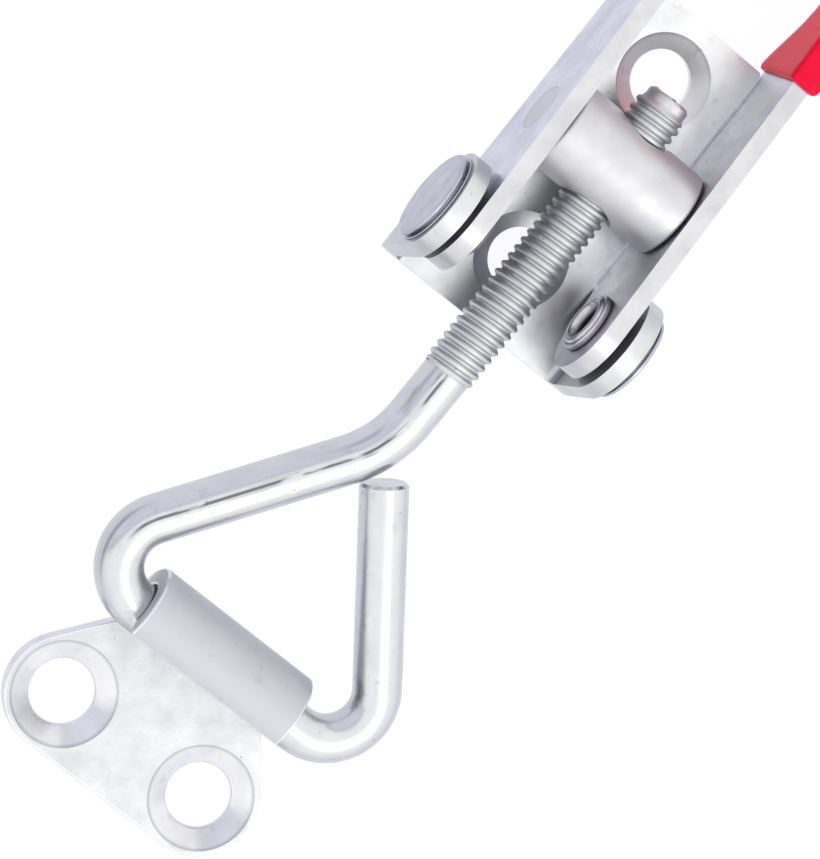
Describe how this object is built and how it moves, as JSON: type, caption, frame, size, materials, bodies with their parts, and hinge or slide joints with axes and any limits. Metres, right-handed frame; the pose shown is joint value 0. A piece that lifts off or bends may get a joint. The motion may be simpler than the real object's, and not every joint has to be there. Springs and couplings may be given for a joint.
{
  "type": "over centre toggle latch",
  "caption": "Over-centre toggle latch: folded steel lever with dipped grip, threaded wire hook closing on a curled catch plate.",
  "frame": {"origin": "on the mounting face, midway between the base plate's screw holes", "axes": "+X from the lever towards the catch plate, +Y across the latch, +Z away from the mounting face"},
  "size_m": [0.1454, 0.0372, 0.0145],
  "materials": {
    "plated_sheet": "bright zinc plate, softly reflecting and faintly mottled",
    "plated_rivet": "bright zinc plate, smooth",
    "plated_turned": "bright zinc plate over a turned surface",
    "plated_wire": "bright zinc plate over drawn wire",
    "dipped_grip": "glossy soft dipped coating"
  },
  "bodies": {
    "base": {"base_plate": "plated_sheet", "left_rivet": "plated_rivet", "right_rivet": "plated_rivet"},
    "lever": {"lever_frame": "plated_sheet", "grip_cover": "dipped_grip"},
    "trunnion": {"trunnion": "plated_turned"},
    "hook": {"hook_bolt": "plated_wire"},
    "catch": {"catch_plate": "plated_sheet"}
  },
  "joints": [
    {"name": "lever_pivot", "type": "hinge", "parent": "base", "child": "lever", "pos_m": [0.0128, 0, 0.0086], "axis": [0, 1, 0], "range_deg": [0, 150]},
    {"name": "trunnion_swivel", "type": "hinge", "parent": "lever", "child": "trunnion", "pos_m": [-0.0012, 0, 0.0074], "axis": [0, 1, 0], "range_deg": [-150, 0]},
    {"name": "bolt_adjust", "type": "slide", "parent": "trunnion", "child": "hook", "axis": [0.9993, 0, -0.0375], "range_m": [-0.01, 0.004]},
    {"name": "catch_swing", "type": "hinge", "parent": "hook", "child": "catch", "pos_m": [0.06415, 0, 0.00495], "axis": [0, 1, 0], "range_deg": [-170, 90]}
  ],
  "couplings": [
    {"joint": "trunnion_swivel", "follows": "lever_pivot", "ratio": -1}
  ]
}
